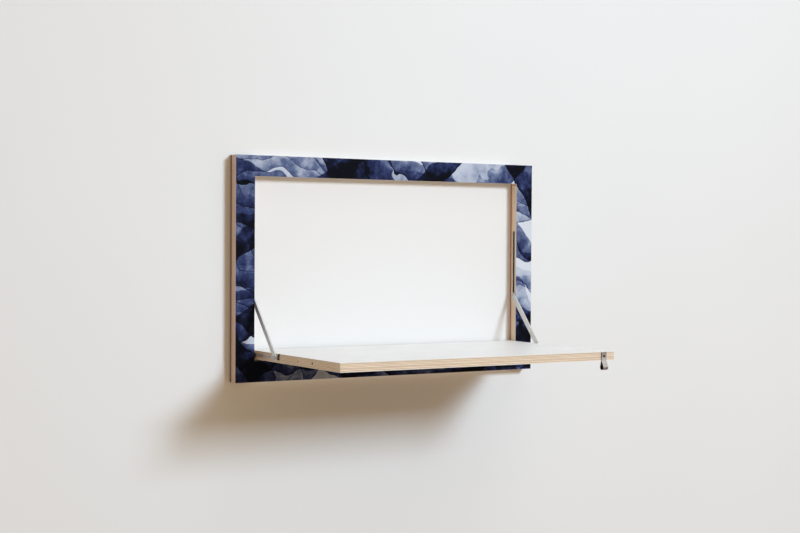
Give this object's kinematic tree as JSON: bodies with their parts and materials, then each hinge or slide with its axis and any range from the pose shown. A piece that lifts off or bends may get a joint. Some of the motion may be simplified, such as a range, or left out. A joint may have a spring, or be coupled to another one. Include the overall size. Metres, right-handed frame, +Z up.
{
  "type": "fold down wall desk",
  "caption": "Wall-hung plywood frame whose cut-out leaf folds down on flat steel stays to make a narrow desk, with a printed face, white top and a steel pull loop.",
  "frame": {"origin": "middle of the upper batten's back, on the wall", "axes": "+X to the right as seen from the room, +Y into the wall, +Z up"},
  "size_m": [0.8, 0.4164, 0.5],
  "materials": {
    "birch_plywood": "oiled edge grain",
    "printed_laminate": "satin indigo print",
    "white_laminate": "satin",
    "fibreboard": "bare brown hardboard",
    "stay_steel": "brushed",
    "pull_steel": "satin",
    "zinc_plated_steel": "zinc plated",
    "black_plastic": "moulded",
    "magnet_nickel": "nickel plated"
  },
  "bodies": {
    "frame": {"frame_core": "birch_plywood", "frame_front_sheet": "printed_laminate", "frame_back_sheet": "white_laminate", "top_batten": "birch_plywood", "bottom_batten": "birch_plywood", "side_batten_left": "fibreboard", "side_batten_right": "fibreboard", "back_panel": "white_laminate", "batten_screws": "zinc_plated_steel", "hanger_plate_left": "zinc_plated_steel", "hanger_plate_right": "zinc_plated_steel", "hanger_screws": "zinc_plated_steel", "guide_rail_left": "zinc_plated_steel", "guide_rail_right": "zinc_plated_steel", "guide_rail_screws_left": "zinc_plated_steel", "guide_rail_screws_right": "zinc_plated_steel", "pivot_bush_left": "black_plastic", "pivot_bush_right": "black_plastic", "catch_magnet": "magnet_nickel"},
    "leaf": {"leaf_core": "birch_plywood", "leaf_top_sheet": "white_laminate", "leaf_under_sheet": "printed_laminate", "hinge_arm_left": "stay_steel", "hinge_arm_right": "stay_steel", "hinge_arm_screws_left": "zinc_plated_steel", "hinge_arm_screws_right": "zinc_plated_steel", "pivot_pin_left": "stay_steel", "pivot_pin_right": "stay_steel", "stay_pin_left": "stay_steel", "stay_pin_right": "stay_steel", "pull_loop": "pull_steel", "pull_loop_screw": "zinc_plated_steel"},
    "stay_left": {"stay_bar_left": "stay_steel", "stay_rivet_left": "stay_steel"},
    "stay_right": {"stay_bar_right": "stay_steel", "stay_rivet_right": "stay_steel"},
    "shoe_left": {"slide_shoe_left": "black_plastic", "slide_pin_left": "stay_steel"},
    "shoe_right": {"slide_shoe_right": "black_plastic", "slide_pin_right": "stay_steel"}
  },
  "joints": [
    {"name": "leaf_fold", "type": "hinge", "parent": "frame", "child": "leaf", "pos_m": [0, -0.0188, -0.4167], "axis": [-1, 0, 0], "range_deg": [0, 90]},
    {"name": "stay_left_swing", "type": "hinge", "parent": "leaf", "child": "stay_left", "pos_m": [-0.35175, -0.1268, -0.4167], "axis": [1, 0, 0], "range_deg": [0, 131.57]},
    {"name": "shoe_left_slide", "type": "slide", "parent": "frame", "child": "shoe_left", "axis": [0, 0, 1], "range_m": [0, 0.149]},
    {"name": "stay_right_swing", "type": "hinge", "parent": "leaf", "child": "stay_right", "pos_m": [0.35175, -0.1268, -0.4167], "axis": [1, 0, 0], "range_deg": [0, 131.57]},
    {"name": "shoe_right_slide", "type": "slide", "parent": "frame", "child": "shoe_right", "axis": [0, 0, 1], "range_m": [0, 0.149]}
  ],
  "couplings": [
    {"joint": "stay_left_swing", "follows": "leaf_fold", "ratio": 1.4613},
    {"joint": "shoe_left_slide", "follows": "leaf_fold", "m_per_rad": 0.094815},
    {"joint": "stay_right_swing", "follows": "leaf_fold", "ratio": 1.4613},
    {"joint": "shoe_right_slide", "follows": "leaf_fold", "m_per_rad": 0.094815}
  ]
}
